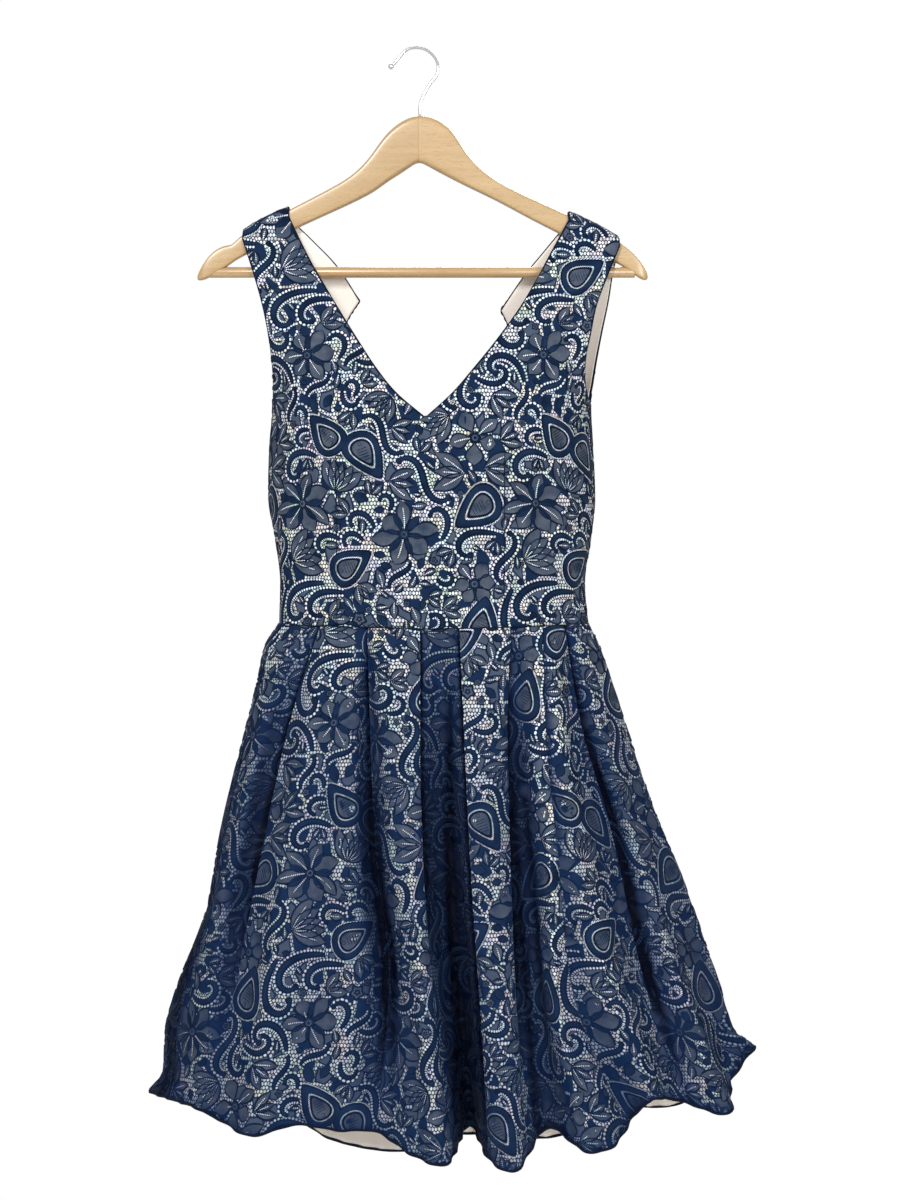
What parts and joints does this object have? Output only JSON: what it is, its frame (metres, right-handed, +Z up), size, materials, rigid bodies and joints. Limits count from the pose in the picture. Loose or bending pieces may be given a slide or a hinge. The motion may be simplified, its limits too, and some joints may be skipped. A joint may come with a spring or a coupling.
{
  "type": "cocktail dress on a wooden hanger",
  "caption": "Sleeveless V-neck cocktail dress of corded lace on a lining, with a fitted bodice, pleated flared skirt and keyhole back, hung on a wooden hanger with a trouser bar.",
  "frame": {"origin": "inside top of the hanger's hook, where it hangs on a rail", "axes": "+Z up, the dress's front faces -Y, +X towards the viewer's right when facing the front"},
  "size_m": [0.5966, 0.2105, 1.1033],
  "materials": {
    "navy_lace": "corded lace, matt with a slight sheen on the cords",
    "champagne_lining": "soft satin lining",
    "zip_tape": "woven tape, matt",
    "zip_metal": "lacquered",
    "beech": "clear satin varnish",
    "bar_beech": "clear satin varnish",
    "chrome_wire": "polished"
  },
  "bodies": {
    "dress": {"hanger_arms": "beech", "hanger_bar": "bar_beech", "hanger_hook": "chrome_wire", "bodice_front": "navy_lace", "bodice_back_left": "navy_lace", "bodice_back_right": "navy_lace", "bodice_lining_left": "champagne_lining", "bodice_lining_right": "champagne_lining", "skirt_front": "navy_lace", "skirt_back_left": "navy_lace", "skirt_back_right": "navy_lace", "skirt_lining_left": "champagne_lining", "skirt_lining_right": "champagne_lining", "zip_tape": "zip_tape", "zip_slider": "zip_metal"},
    "zip_pull": {"zip_pull": "zip_metal"}
  },
  "joints": [
    {"name": "zip_pull_hinge", "type": "hinge", "parent": "dress", "child": "zip_pull", "pos_m": [0.00655, 0.05061, -0.3992], "axis": [1, 0, 0], "range_deg": [0, 150]}
  ]
}
